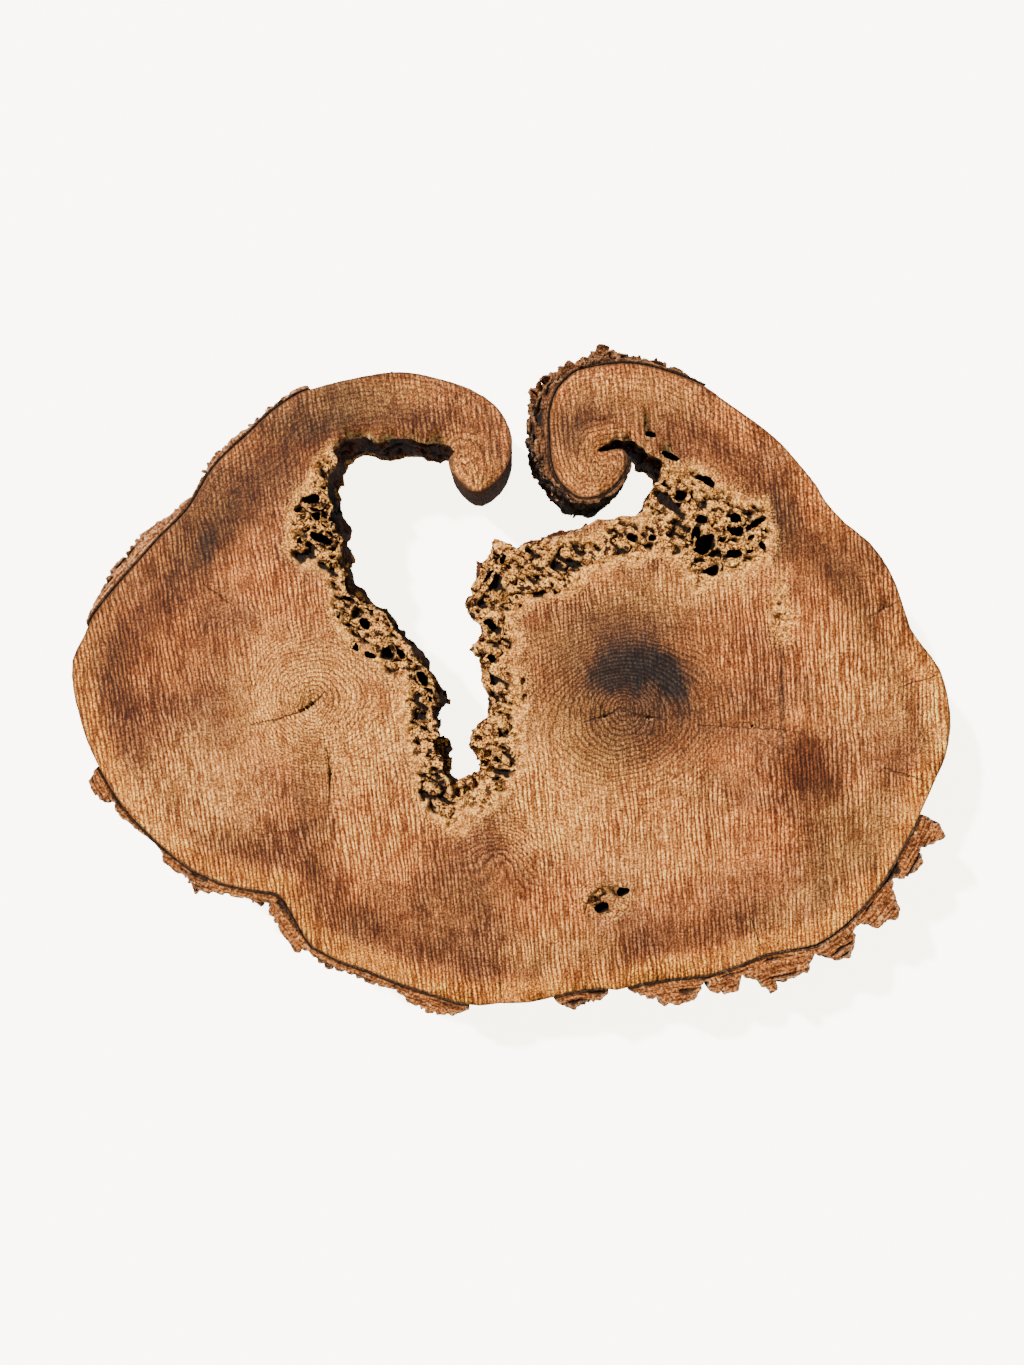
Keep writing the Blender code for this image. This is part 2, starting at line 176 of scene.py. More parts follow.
RED_STAINS = (
    (375, -112, 50, 60, 0, 1.0), (388, -190, 24, 44, 0, 0.6), (-388, 178, 16, 44, 0, 0.5),
    (-2, -257, 20, 12, 0, 0.8),
    (-430, 60, 120, 100, 30, 0.45), (-480, -40, 60, 80, 0, 0.3), (-330, -210, 110, 40, 20, 0.3),
    (480, 60, 60, 90, 20, 0.35), (400, 150, 90, 60, -40, 0.25), (120, -350, 70, 30, 0, 0.3),
    (-130, -290, 120, 50, 0, 0.25), (-360, 210, 90, 50, 45, 0.5), (-300, 290, 90, 50, 40, 0.4),
)
PALE_STAINS = (
    (205, 118, 130, 34, 8, 0.8), (-193, -73, 76, 100, 0, 1.0), (-262, -20, 120, 110, 0, 1.0),
    (62, -124, 100, 130, 0, 1.0), (-396, -137, 110, 90, 0, 0.7), (62, -340, 90, 44, 0, 0.7),
    (443, 3, 80, 110, 0, 0.6), (538, -48, 22, 50, 0, 1.0), (170, -210, 120, 70, 0, 0.6),
    (60, 40, 50, 60, 0, 0.35), (130, 308, 40, 10, 20, 0.5),
    (-190, 362, 110, 22, 6, 0.55), (-60, 268, 44, 50, 0, 0.45), (150, 370, 120, 30, -10, 0.5),
    (500, 10, 40, 40, 0, 0.5), (440, -190, 60, 90, -30, 0.65), (380, -280, 90, 30, 30, 0.5),
    (60, -120, 80, 70, 0, 0.45), (170, -150, 140, 60, 0, 0.5), (-150, -130, 60, 60, 0, 0.5),
    (-120, -60, 30, 110, 8, 0.5), (-170, -190, 90, 60, 0, 0.4), (100, 270, 46, 40, 0, 0.4),
    (-250, 100, 60, 60, 0, 0.2),
)

# Fine drying checks drawn on the front face, in mm: width and the line that each follows.
FINE_CHECKS = (
    (1.6, ((93, -49), (118, -43), (140, -31), (160, -41), (194, -46))),
    (1.3, ((-302, -48), (-268, -36), (-250, -25), (-238, -12))),
    (1.5, ((-235, -82), (-231, -112), (-232, -156))),
    (1.1, ((238, -54), (300, -57), (352, -60))),
    (1.2, ((452, 82), (470, 93), (489, 101))), (1.0, ((498, -3), (520, 2), (540, 9))),
    (1.0, ((474, -108), (500, -116), (524, -124))), (1.0, ((-392, 126), (-374, 113), (-355, 99))),
    (1.3, ((-15, -360), (-14, -382), (-12, -401))), (1.2, ((305, -300), (313, -323), (321, -340))),
    (1.0, ((-333, -54), (-310, -48), (-286, -43))), (0.9, ((80, 327), (100, 335), (120, 333))),
    (0.9, ((12, 3), (15, -9), (16, -24))),
)

# Punky lumps wedged in the slot, in mm: middle and half sizes.
CRUMBS = (
    (-39, -70, 106, 16, 20, 15), (-34, -91, 96, 14, 15, 18), (-57, -128, 106, 13, 12, 12),
    (-71, -136, 98, 11, 10, 14), (-42, -128, 92, 13, 12, 18), (-84, -104, 84, 9, 13, 14),
    (-92, -80, 60, 10, 12, 18), (-34, -110, 76, 13, 14, 26), (-28, -58, 74, 9, 13, 18),
)

BARKS = (
    "bark_upper_left", "bark_lower_left", "bark_lower_middle", "bark_lower_right",
    "bark_right_curl",
)
# Runs of flakes: what carries them, the line in mm that they stand along, how many and how long.
FLAKE_RUNS = (
    ("bark_right_curl_furrowed", ((36, 362), (58, 392), (96, 409), (134, 420)), 84,
     (0.012, 0.024)),
    ("bark_right_curl_furrowed", ((134, 420), (184, 409), (209, 400), (246, 381)), 50,
     (0.008, 0.016)),
    ("bark_right_curl_furrowed", ((22, 335), (26, 300), (51, 254), (90, 228)), 14,
     (0.004, 0.009)),
    ("bark_upper_left_furrowed", ((-262, 378), (-315, 344), (-378, 292), (-407, 238)), 60,
     (0.004, 0.010)),
    ("bark_upper_left_furrowed", ((-427, 222), (-494, 160), (-541, 78)), 24, (0.004, 0.008)),
    ("walnut_wood", ((-163, 396), (-90, 388), (-70, 381)), 7, (0.004, 0.007)),
    ("walnut_wood", ((-15, 349), (-12, 345)), 2, (0.006, 0.008)),
    ("walnut_wood", ((246, 378), (321, 325)), 14, (0.003, 0.006)),
    ("bark_lower_left_furrowed", ((-418, -246), (-405, -258), (-398, -262)), 8, (0.006, 0.012)),
    ("bark_lower_left_furrowed", ((-332, -276), (-318, -280)), 8, (0.006, 0.012)),
)
BARK_KINDS = {"bark_upper_left": "bark_thin", "bark_right_curl": "bark_dark"}


def paint(red, green, blue):
    """Linear colour with full alpha from one written in 0 to 255 steps."""
    return (*((step / 255.0) ** 2.2 for step in (red, green, blue)), 1.0)


# Fields over points.

def traced(points):
    """A traced line in metres, in the slice's own frame."""
    return (np.array(points, float) + SHIFT) * MM


def rise(value, low, high):
    """Smooth step from 0 at low to 1 at high."""
    share = np.clip((value - low) / (high - low), 0.0, 1.0)
    return share * share * (3.0 - 2.0 * share)


def random_at(cells, seed):
    """An even random number from 0 to 1 for each cell of a lattice."""
    x, y, z = cells.astype(np.int64).astype(np.uint32).T
    mixed = x * np.uint32(73856093) ^ y * np.uint32(19349663) ^ z * np.uint32(83492791)
    mixed = (mixed + np.uint32(seed * 7919 + 1)) * np.uint32(2654435761)
    mixed = (mixed ^ (mixed >> np.uint32(15))) * np.uint32(2246822519)
    mixed = mixed ^ (mixed >> np.uint32(13))
    return mixed / 4294967295.0


def noise(points, size, seed, octaves=1):
    """Smooth random field of about -1 to 1. The size of its lumps may differ along each axis."""
    total, weight, reach = 0.0, 1.0, 0.0
    for octave in range(octaves):
        place = points / (np.asarray(size) / 2.0 ** octave) + 31.7 * (seed + octave)
        cell = np.floor(place)
        part = place - cell
        part = part * part * (3.0 - 2.0 * part)
        value = 0.0
        for corner in np.ndindex(2, 2, 2):
            share = np.prod(np.where(np.array(corner) > 0, part, 1.0 - part), axis=1)
            value = value + share * random_at(cell + corner, seed + octave)
        total = total + weight * (3.0 * value - 1.5)
        reach += weight
        weight *= 0.5
    return total / reach


def reach_to(points, line, closed=False):
    """Distance of each point to a line, and how far along the line its nearest place is."""
    best = np.full(len(points), 1e9)
    along = np.zeros(len(points))
    start = 0.0
    ends = np.roll(line, -1, axis=0) if closed else line[1:]
    for a, b in zip(line, ends):
        step = b - a
        length = math.hypot(*step)
        share = np.clip(((points - a) @ step) / length ** 2, 0.0, 1.0)
        gap = points - a - share[:, None] * step
        distance = np.hypot(gap[:, 0], gap[:, 1])
        near = distance < best
        best[near] = distance[near]
        along[near] = start + share[near] * length
        start += length
    return best, along


def within(points, ring):
    """Whether each point lies inside a closed line."""
    x, y = points.T
    odd = np.zeros(len(points), bool)
    for a, b in zip(ring, np.roll(ring, -1, axis=0)):
        if a[1] == b[1]:
            continue
        crosses = (a[1] > y) != (b[1] > y)
        odd ^= crosses & (x < a[0] + (y - a[1]) / (b[1] - a[1]) * (b[0] - a[0]))
    return odd


def rot_share(points):
    """How far rot has coloured the wood at each point, and how far it has eaten it, 0 to 1."""
    flat = points[:, :2]
    ragged = 0.013 * noise(points * (1, 1, 0.3), 0.034, 3, 4)
    tinted, eaten = np.zeros(len(points)), np.zeros(len(points))
    for strength, zone in ROT_ZONES:
        ring = traced(zone)
        distance, _ = reach_to(flat, ring, closed=True)
        signed = np.where(within(flat, ring), distance, -distance) + ragged
        tinted = np.maximum(tinted, strength * rise(signed, -0.015, 0.012))
        eaten = np.maximum(eaten, strength * rise(signed, -0.004, 0.018))
    return tinted, eaten


def growth(points, rim):
    """Number of the yearly ring at each point: it wraps the two middles, then follows the rim."""
    flat = points[:, :2]
    blend = 0.035
    pull = 0.0
    for pith in traced(PITHS):
        pull = pull + np.exp(-np.hypot(*(flat - pith).T) / blend)
    middle = np.maximum(-blend * np.log(pull), 0.0) + 0.002
    rings = RINGS * middle / (middle + rim)
    for x, y, reach, strength in SWIRLS:
        centre = traced([(x, y)])[0]
        distance = np.hypot(*(flat - centre).T) / (reach * MM)
        rings = rings + strength * np.exp(-distance ** 2)
    level = points * (1, 1, 0.15)
    return rings + 1.5 * noise(level, 0.11, 11, 2) + 0.4 * noise(level, 0.028, 12)


def ring_clearness(points):
    """How plainly the rings show at each point: most round the two middles and in the curls."""
    flat = points[:, :2]
    clear = 0.14 + 0.42 * rise(points[:, 1], 0.2, 0.27)
    middles = (*PITHS, (-43, 285), (100, 285), (-8, -213))
    for middle, reach in zip(traced(middles), (0.12, 0.15, 0.07, 0.08, 0.07)):
        clear = np.maximum(clear, np.exp(-(np.hypot(*(flat - middle).T) / reach) ** 2))
    return clear


def charcoal(points):
    """The stain over the right middle: a dome of rings, with brown wood left inside and below."""
    gap = points[:, :2] - traced([(157, -32)])[0]
    cloudy = 0.006 * noise(points, 0.02, 61, 4)
    away = np.hypot(gap[:, 0] / 0.82, gap[:, 1]) + cloudy
    upper = rise(gap[:, 1] + 0.12 * gap[:, 0] + 1.6 * cloudy, -0.004, 0.020)
    side = 0.96 + 0.04 * rise(gap[:, 0], -0.024, 0.002)
    return side * upper * (1.0 - rise(away, 0.082, 0.094)) * rise(away, 0.004, 0.016)


def stained(points, stains, seed):
    """How strongly one kind of stain colours each point, with cloudy borders."""
    cloudy = 0.24 * noise(points, 0.03, seed, 4)
    total = np.zeros(len(points))
    for x, y, wide, high, turn, strength in stains:
        angle = math.radians(turn)
        gap = points[:, :2] - traced([(x, y)])[0]
        across = (gap[:, 0] * math.cos(angle) + gap[:, 1] * math.sin(angle)) / (wide * MM)
        upward = (gap[:, 1] * math.cos(angle) - gap[:, 0] * math.sin(angle)) / (high * MM)
        distance = np.hypot(across, upward) + cloudy
        total = np.maximum(total, strength * (1.0 - rise(distance, 0.35, 1.2)))
    return total


# Meshes.

def alone(piece):
    """Makes this the only selected object, and the active one."""
    bpy.ops.object.select_all(action="DESELECT")
    piece.select_set(True)
    bpy.context.view_layer.objects.active = piece


def merged_copy(node, name):
    """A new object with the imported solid's shape, its loose triangles merged."""
    piece = bpy.data.objects.new(name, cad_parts[node].data.copy())
    bpy.context.scene.collection.objects.link(piece)
    alone(piece)
    bpy.ops.object.mode_set(mode="EDIT")
    bpy.ops.mesh.select_all(action="SELECT")
    bpy.ops.mesh.remove_doubles(threshold=1e-6)
    bpy.ops.object.mode_set(mode="OBJECT")
    piece.data.materials.clear()
    return piece


def remeshed(piece, voxel):
    """Evens the mesh out to small squares of this size."""
    alone(piece)
    piece.data.remesh_voxel_size = voxel
    piece.data.remesh_voxel_adaptivity = 0.0
    bpy.ops.object.voxel_remesh()


def thinned(piece, triangles):
    """Joins flat neighbours until about this many triangles are left."""
    alone(piece)
    now = sum(len(face.vertices) - 2 for face in piece.data.polygons)
    if now > triangles:
        fewer = piece.modifiers.new("thinned", "DECIMATE")
        fewer.ratio = triangles / now
        fewer.use_collapse_triangulate = True
        bpy.ops.object.modifier_apply(modifier="thinned")


def places(mesh):
    """The mesh's points and their outward directions, as two arrays."""
    count = len(mesh.vertices)
    points = np.empty(count * 3, np.float32)
    mesh.vertices.foreach_get("co", points)
    outward = np.empty(count * 3, np.float32)
    mesh.vertex_normals.foreach_get("vector", outward)
    return points.reshape(-1, 3).astype(float), outward.reshape(-1, 3).astype(float)


def put(mesh, points):
    """Moves the mesh's points to these places."""
    mesh.vertices.foreach_set("co", points.astype(np.float32).ravel())


def sink(piece, points, outward, depth):
    """Moves each point inwards by its depth in metres."""
    moved = points - outward * depth[:, None]
    moved[:, 2] = np.clip(moved[:, 2], 0.0, TOP)
    put(piece.data, moved)
    piece.data.update()


def store(mesh, **fields):
    """Keeps a value or a colour on each point for the materials, under each name."""
    for name, values in fields.items():
        kind, part = ("FLOAT", "value") if values.ndim == 1 else ("FLOAT_COLOR", "color")
        attribute = mesh.attributes.new(name, kind, "POINT")
        attribute.data.foreach_set(part, values.astype(np.float32).ravel())


def smooth_below(piece, degrees):
    """Smooth shading, with edges sharper than this kept crisp."""
    alone(piece)
    bpy.ops.object.shade_smooth_by_angle(angle=math.radians(degrees))


# Wiring of materials.

class Wiring:
    """Adds and joins nodes in one node tree."""

    def __init__(self, tree):
        self.tree = tree
        self.count = 0

    def add(self, kind, feeds=(), **settings):
        node = self.tree.nodes.new(kind)
        node.location = (200 * (self.count % 10), -280 * (self.count // 10))
        self.count += 1
        for name, value in settings.items():
            setattr(node, name, value)
        for name, value in dict(feeds).items():
            self.feed(node.inputs[name], value)
        return node

    def feed(self, socket, value):
        if isinstance(value, bpy.types.NodeSocket):
            self.tree.links.new(value, socket)
        elif value is not None:
            socket.default_value = value

    def maths(self, operation, a, b=None, c=None, clamp=False):
        node = self.add(
            "ShaderNodeMath", {0: a, 1: b, 2: c}, operation=operation, use_clamp=clamp)
        return node.outputs[0]

    def plus(self, a, b):
        return self.maths("ADD", a, b)

    def minus(self, a, b):
        return self.maths("SUBTRACT", a, b)

    def times(self, a, b):
        return self.maths("MULTIPLY", a, b)

    def vector(self, operation, a, b=None, c=None, output=0):
        node = self.add("ShaderNodeVectorMath", {0: a, 1: b, 2: c}, operation=operation)
        return node.outputs[output]

    def part(self, vector, axis):
        return self.add("ShaderNodeSeparateXYZ", {0: vector}).outputs[axis]

    def mix(self, share, a, b):
        return self.add("ShaderNodeMix", {0: share, 2: a, 3: b}, data_type="FLOAT").outputs[0]

    def spread(self, value, low, high, to_low=0.0, to_high=1.0):
        node = self.add(
            "ShaderNodeMapRange", {0: value, 1: low, 2: high, 3: to_low, 4: to_high},
            interpolation_type="SMOOTHSTEP")
        return node.outputs[0]

    def blend(self, share, a, b, mode="MIX"):
        node = self.add("ShaderNodeMix", data_type="RGBA", blend_type=mode, clamp_result=True)
        for socket, value in zip((node.inputs[0], node.inputs[6], node.inputs[7]), (share, a, b)):
            self.feed(socket, value)
        return node.outputs[2]

    def cloud(self, vector, scale, detail=2.0, roughness=0.5, distortion=0.0):
        node = self.add("ShaderNodeTexNoise", {
            "Vector": vector, "Scale": scale, "Detail": detail, "Roughness": roughness,
            "Distortion": distortion})
        return node.outputs[0]

    def stretched(self, vector, scales):
        return self.vector("MULTIPLY", vector, scales)

    def kept(self, *names):
        nodes = [self.add("ShaderNodeAttribute", attribute_name=name) for name in names]
        return [node.outputs["Fac"] for node in nodes]


def group(name, inputs, outputs):
    """An empty node group with these sockets: its wiring, its inputs and its last node."""
    tree = bpy.data.node_groups.new(name, "ShaderNodeTree")
    for kind, named in (("INPUT", inputs), ("OUTPUT", outputs)):
        for socket, form in named:
            tree.interface.new_socket(socket, in_out=kind, socket_type=f"NodeSocket{form}")
    wires = Wiring(tree)
    entry = wires.add("NodeGroupInput")
    return wires, entry.outputs[:len(inputs)], wires.add("NodeGroupOutput")


def speckle_group():
    """Fine mottling and sparse dark specks, at a size that each material sets."""
    wires, entry, end = group(
        "speckle", [("Vector", "Vector"), ("Scale", "Float")],
        [("Mottle", "Float"), ("Specks", "Float")])
    vector, scale = entry
    mottle = wires.cloud(vector, scale, 3.0, 0.65)
    spots = wires.cloud(vector, wires.times(scale, 1.7), 2.0, 0.5)
    wires.feed(end.inputs[0], mottle)
    wires.feed(end.inputs[1], wires.spread(spots, 0.62, 0.72))
    return wires.tree


def fibre_group():
    """Streaks along the trunk, as split wood and bark show on their sides."""
    wires, entry, end = group(
        "fibres", [("Vector", "Vector"), ("Scale", "Float")],
        [("Streaks", "Float"), ("Cracks", "Float")])
    vector, scale = entry
    drawn = wires.stretched(vector, (1.0, 1.0, 0.07))
    streaks = wires.cloud(drawn, scale, 4.0, 0.6, 0.3)
    cracks = wires.cloud(wires.stretched(vector, (1.0, 1.0, 0.11)), scale, 2.0, 0.5, 0.6)
    ridge = wires.maths("ABSOLUTE", wires.minus(cracks, 0.5))
    wires.feed(end.inputs[0], streaks)
    wires.feed(end.inputs[1], wires.spread(ridge, 0.035, 0.005))
    return wires.tree


def ring_group():
    """Yearly rings from a ring number: a dark late line in each, and years of unlike tone."""
    wires, entry, end = group(
        "yearly_rings", [("Rings", "Float"), ("Vector", "Vector")],
        [("Line", "Float"), ("Tone", "Float")])
    rings, vector = entry
    ripple = wires.cloud(vector, 120.0, 2.0, 0.5)
    ripple = wires.times(wires.minus(ripple, 0.5), 0.4)
    number = wires.plus(rings, ripple)
    part = wires.maths("FRACT", number)
    late = wires.times(wires.spread(part, 0.35, 0.92), wires.spread(part, 1.0, 0.94))
    tone = wires.add(
        "ShaderNodeTexNoise", {"W": number, "Scale": 0.45, "Detail": 3.0, "Roughness": 0.75},
        noise_dimensions="1D")
    wires.feed(end.inputs[0], late)
    wires.feed(end.inputs[1], tone.outputs[0])
    return wires.tree


def saw_group():
    """Wavy marks of the saw across both faces, about 5 mm apart and leaning to the left."""
    wires, entry, end = group(
        "saw_marks", [("Vector", "Vector"), ("Worn", "Float")],
        [("Ridges", "Float"), ("Scratches", "Float")])
    vector, worn = entry
    split = wires.add("ShaderNodeSeparateXYZ", {0: vector})
    x, y = split.outputs[0], split.outputs[1]
    lean = wires.minus(SAW_LEAN, wires.times(x, SAW_TURN))
    across = wires.plus(x, wires.times(y, lean))
    wander = wires.cloud(wires.stretched(vector, (1.0, 0.35, 0.0)), 21.0, 4.0, 0.62)
    across = wires.plus(across, wires.times(wander, 0.020))
    wave = wires.maths("SINE", wires.times(across, math.tau / SAW_PITCH))
    dashes = wires.cloud(wires.stretched(vector, (1.0, 0.12, 0.0)), 150.0, 3.0, 0.6)
    wave = wires.times(wires.maths("MULTIPLY_ADD", wave, 0.5, 0.5), wires.spread(
        dashes, 0.36, 0.6, 0.2, 1.15))
    patch = wires.spread(wires.cloud(vector, 11.0, 3.0, 0.65), 0.36, 0.62, 0.5, 1.35)
    patch = wires.times(patch, wires.spread(worn, 0.15, 0.9, 1.0, 0.35))
    ridges = wires.maths("MULTIPLY_ADD", wires.minus(wave, 0.36), patch, 0.5)
    thin = wires.add("ShaderNodeCombineXYZ", {
        0: wires.times(across, 520.0), 1: wires.times(y, 90.0)})
    wires.feed(end.inputs[0], ridges)
    wires.feed(end.inputs[1], wires.cloud(thin.outputs[0], 1.0, 3.0, 0.6))
    return wires.tree


def check_group():
    """One straight stretch of a fine drying check, drawn as a thin wandering line."""
    wires, entry, end = group(
        "check_line",
        [("Vector", "Vector"), ("From", "Vector"), ("Along", "Vector"), ("Width", "Float"),
         ("Before", "Float")],
        [("Mask", "Float")])
    vector, start, along, width, before = entry
    # Each stretch waits for the one before, so that few values are held at once.
    after = wires.vector("MULTIPLY_ADD", before, (HARDLY, HARDLY, 0.0), vector)
    gap = wires.vector("SUBTRACT", after, start)
    over = wires.vector("DOT_PRODUCT", gap, along, output=1)
    whole = wires.vector("DOT_PRODUCT", along, along, output=1)
    share = wires.maths("DIVIDE", over, whole, clamp=True)
    foot = wires.add("ShaderNodeVectorMath", {0: along}, operation="SCALE")
    wires.feed(foot.inputs["Scale"], share)
    away = wires.vector("DISTANCE", gap, foot.outputs[0], output=1)
    line = wires.spread(away, width, wires.times(width, 0.3))
    wires.feed(end.inputs[0], wires.maths("MAXIMUM", line, before))
    return wires.tree


def place_group(wires, tree, **feeds):
    """Puts a shared effect in a material, and gives its outputs."""
    node = wires.add("ShaderNodeGroup", node_tree=tree)
    for name, value in feeds.items():
        wires.feed(node.inputs[name], value)
    return node.outputs


def new_material(name):
    """A material with its wiring and its shader."""
    material = bpy.data.materials.new(name)
    material.use_nodes = True
    wires = Wiring(material.node_tree)
    shader = material.node_tree.nodes["Principled BSDF"]
    shader.inputs["Metallic"].default_value = 0.0
    shader.inputs["Specular IOR Level"].default_value = SHEEN
    return material, wires, shader


def surface(wires):
    """Each point's place, and how far it belongs to a sawn face, 0 to 1."""
    place = wires.add("ShaderNodeTexCoord").outputs["Object"]
    normal = wires.add("ShaderNodeNewGeometry").outputs["Normal"]
    return place, wires.spread(wires.maths("ABSOLUTE", wires.part(normal, 2)), 0.45, 0.85)


def bumped(wires, shader, relief):
    """Raises the surface by a relief in millimetres."""
    bump = wires.add("ShaderNodeBump", {"Strength": 1.0, "Distance": MM, "Height": relief})
    wires.feed(shader.inputs["Normal"], bump.outputs[0])


def drying_checks(wires, tree, place):
    """A mask of every fine check on the front face."""
    shake = wires.cloud(place, 90.0, 3.0, 0.6)
    flat = wires.stretched(place, (1.0, 1.0, 0.0))
    moved = wires.add("ShaderNodeCombineXYZ", {
        0: wires.times(wires.minus(shake, 0.5), 0.004),
        1: wires.times(wires.minus(shake, 0.5), 0.009)}).outputs[0]
    spot = wires.vector("ADD", flat, moved)
    mask = None
    for width, line in FINE_CHECKS:
        points = traced(line)
        for a, b in zip(points, points[1:]):
            mask = place_group(
                wires, tree, Vector=spot, From=(*a, 0.0), Along=(*(b - a), 0.0),
                Width=width * MM, Before=mask)[0]
    height = wires.part(place, 2)
    return wires.times(mask, wires.spread(height, TOP - 0.02, TOP - 0.004))


def wood_material(sizes, effects):
    """Sawn walnut with rings, saw marks, stains, rot and fibrous sides, with painted highlights and
    shade on the saw marks and rot, and painted shade in deep pits and the void.
    """
    material, wires, shader = new_material("walnut_wood")
    place, face = surface(wires)
    height = wires.part(place, 2)
    depth = wires.maths("MINIMUM", wires.minus(TOP, height), height)
    rim, rings, clear = wires.kept("rim", "rings", "clear")
    rot, eaten, hollow = wires.kept("rot", "eaten", "hollow")
    kinds = wires.add("ShaderNodeAttribute", attribute_name="stains")
    dark, red, pale = wires.add(
        "ShaderNodeSeparateColor", {0: kinds.outputs["Color"]}).outputs[:3]
    grey = kinds.outputs["Alpha"]

    line, tone = place_group(wires, effects["rings"], Rings=rings, Vector=place)
    ridges, scratches = place_group(wires, effects["saw"], Vector=place, Worn=clear)
    mottle, specks = place_group(wires, effects["speckle"], Vector=place, Scale=420.0)
    coarse = place_group(wires, effects["speckle"], Vector=place, Scale=120.0)[0]
    broad = wires.cloud(place, 8.5, 4.0, 0.6)

    colour = wires.blend(wires.spread(broad, 0.40, 0.60), sizes.wood_mid, sizes.wood_light)
    years = wires.times(wires.spread(tone, 0.58, 0.38), wires.spread(clear, 0.2, 1.0, 0.2, 0.6))
    colour = wires.blend(years, colour, sizes.wood_dark)
    heart = wires.times(wires.spread(rim, 0.026, 0.048), wires.spread(rim, 0.095, 0.055))
    colour = wires.blend(
        wires.times(heart, wires.spread(broad, 0.3, 0.6, 0.35, 0.85)), colour,
        sizes.wood_red)
    low = wires.spread(wires.part(place, 1), 0.14, -0.04, 0.1, 0.85)
    young = wires.times(wires.spread(rim, 0.038, 0.018), low)
    colour = wires.blend(young, colour, sizes.sapwood)
    colour = wires.blend(wires.times(pale, 0.95), colour, sizes.golden)
    colour = wires.blend(wires.times(red, 0.85), colour, paint(88, 42, 22))
    colour = wires.blend(wires.times(grey, 0.8), colour, paint(98, 76, 50))
    inked = wires.times(dark, wires.spread(
        line, 0.0, 0.5, wires.spread(dark, 0.90, 1.0, 0.86, 0.96), 1.0))
    colour = wires.blend(inked, colour, sizes.stain)
    cloudy = wires.cloud(place, 46.0, 5.0, 0.65)
    colour = wires.blend(
        wires.spread(cloudy, 0.56, 0.36, 0.0, 0.5), colour, paint(170, 130, 104), "MULTIPLY")

    late = wires.times(line, clear)
    colour = wires.blend(wires.times(late, 0.9), colour, paint(110, 79, 60), "MULTIPLY")
    # Painted light: the saw's grooves and fine scratches are painted darker as shade, and its ridges
    # brighter as a highlight, as raking light shows them.
    colour = wires.blend(
        wires.spread(ridges, 0.14, 0.62, 0.9, 0.0), colour, paint(138, 105, 84), "MULTIPLY")
    colour = wires.blend(
        wires.spread(ridges, 0.62, 1.0, 0.0, 0.8), colour, SAW_PAINTED_HIGHLIGHT, "MULTIPLY")
    colour = wires.blend(
        wires.spread(scratches, 0.58, 0.40, 0.0, 0.6), colour, paint(130, 95, 75), "MULTIPLY")
    colour = wires.blend(
        wires.spread(mottle, 0.58, 0.42, 0.0, 0.9), colour, paint(128, 92, 70), "MULTIPLY")
    colour = wires.blend(wires.times(specks, 0.45), colour, paint(74, 40, 22))
    colour = wires.blend(
        wires.times(pale, 0.6), colour, PALE_GLEAM, "MULTIPLY")
    colour = wires.blend(wires.spread(rim, 0.0030, 0.0010, 0.0, 0.75), colour, paint(66, 44, 30))

    punky = wires.blend(wires.spread(coarse, 0.38, 0.62), paint(182, 108, 52), sizes.rot)
    # Painted highlight: pale yellow on the rot's lumps, where raking light would catch them.
    punky = wires.blend(wires.spread(mottle, 0.53, 0.65, 0.0, 0.8), punky, paint(255, 222, 122))
    grain = wires.spread(mottle, 0.51, 0.42, 0.0, 1.0)
    grain = wires.times(grain, wires.spread(eaten, 0.0, 1.0, 0.4, 1.0))
    punky = wires.blend(grain, punky, paint(62, 34, 18))
    # Painted shadow: near-black patches in the rot, where its gaps would lie in shade.
    painted_gap_shadow = wires.times(wires.spread(coarse, 0.475, 0.42), eaten)
    punky = wires.blend(painted_gap_shadow, punky, paint(34, 20, 12))
    grainy = wires.maths("MULTIPLY_ADD", mottle, 1.3, wires.minus(rot, 0.65))
    colour = wires.blend(wires.spread(grainy, 0.15, 0.95), colour, punky)
    cracked = drying_checks(wires, effects["check"], place)
    colour = wires.blend(wires.times(cracked, 0.85), colour, paint(52, 34, 26))

    streaks, cracks = place_group(wires, effects["fibres"], Vector=place, Scale=190.0)
    grown = wires.blend(streaks, paint(50, 28, 16), paint(116, 74, 44))
    # The void's walls: the dark brown of rotten wood, painted darker still as the shade inside the
    # void, with pale crumbs near the faces.
    broken = wires.blend(wires.spread(streaks, 0.36, 0.66), paint(34, 14, 7), paint(98, 52, 28))
    broken = wires.blend(
        wires.times(wires.spread(depth, 0.018, 0.003), wires.spread(coarse, 0.36, 0.56)),
        broken, paint(206, 158, 98))
    side = wires.blend(wires.spread(rim, 0.004, 0.014), grown, broken)
    side = wires.blend(wires.times(cracks, 0.75), side, paint(26, 15, 10))
    colour = wires.blend(face, side, colour)
    # Painted shade: deep pits are painted near black.
    colour = wires.blend(hollow, colour, paint(22, 13, 9))
    wires.feed(shader.inputs["Base Color"], colour)
    wires.feed(shader.inputs["Roughness"], wires.spread(mottle, 0.3, 0.7, 0.66, 0.86))

    on_face = wires.plus(wires.times(ridges, 0.55), wires.times(scratches, 0.4))
    on_face = wires.minus(on_face, wires.times(late, 0.12))
    on_face = wires.minus(on_face, wires.times(cracked, 0.9))
    on_side = wires.minus(wires.times(streaks, 1.8), cracks)
    relief = wires.mix(face, on_side, on_face)
    crumbs = wires.times(wires.plus(wires.times(coarse, 2.5), mottle), rot)
    relief = wires.plus(relief, wires.times(crumbs, 1.3))
    relief = wires.plus(relief, wires.times(mottle, 0.45))
    bumped(wires, shader, relief)
    return material


